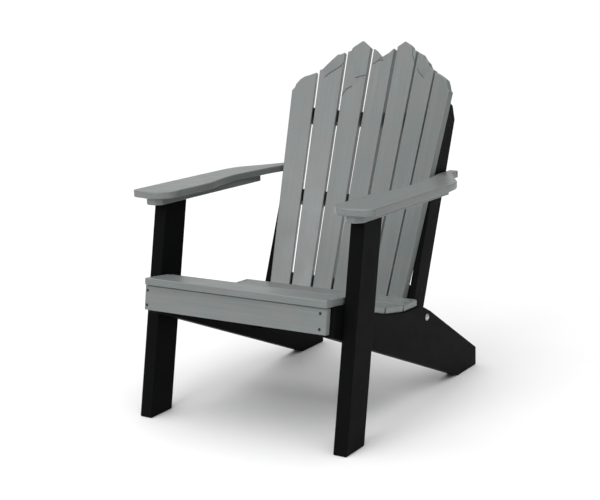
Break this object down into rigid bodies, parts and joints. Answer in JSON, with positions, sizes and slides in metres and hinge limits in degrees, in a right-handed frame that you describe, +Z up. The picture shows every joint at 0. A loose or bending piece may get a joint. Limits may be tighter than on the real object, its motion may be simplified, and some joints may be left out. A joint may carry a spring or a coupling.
{
  "type": "adirondack chair",
  "caption": "Low outdoor armchair of thick plastic boards: black frame, grey sloping slatted seat, wide flat arms and a fanned, curved slat back with a mountain-shaped top.",
  "frame": {"origin": "centre of the bounding box at floor level", "axes": "+Z up, the chair faces -Y, +X is the sitter's left"},
  "size_m": [0.7406, 0.8318, 0.9504],
  "materials": {
    "grey_lumber": "grey recycled-plastic boards with an embossed wood grain, satin-matte",
    "black_lumber": "black recycled-plastic boards with a faint embossed grain, satin-matte",
    "steel": "dull stainless steel",
    "dark_screws": "dark coated stainless steel"
  },
  "bodies": {
    "root": {"apron_screws": "dark_screws", "arm_end_screws": "steel", "arm_left": "grey_lumber", "arm_right": "grey_lumber", "arm_screws": "steel", "arm_support_left": "grey_lumber", "arm_support_right": "grey_lumber", "back_post_left": "black_lumber", "back_post_right": "black_lumber", "back_rail_lower": "black_lumber", "back_rail_middle": "black_lumber", "back_rail_upper": "black_lumber", "back_slat_1": "grey_lumber", "back_slat_2": "grey_lumber", "back_slat_3": "grey_lumber", "back_slat_4": "grey_lumber", "back_slat_5": "grey_lumber", "back_slat_6": "grey_lumber", "back_slat_7": "grey_lumber", "back_slat_screws": "steel", "front_apron": "grey_lumber", "front_leg_left": "black_lumber", "front_leg_right": "black_lumber", "leg_screws": "dark_screws", "post_bolts": "steel", "post_nuts": "steel", "post_screws": "dark_screws", "post_washers": "steel", "rail_screws": "dark_screws", "seat_slat_1": "grey_lumber", "seat_slat_2": "grey_lumber", "seat_slat_3": "grey_lumber", "seat_slat_4": "grey_lumber", "seat_slat_5": "grey_lumber", "seat_slat_screws": "dark_screws", "stringer_left": "black_lumber", "stringer_right": "black_lumber", "support_screws": "steel"}
  },
  "joints": []
}
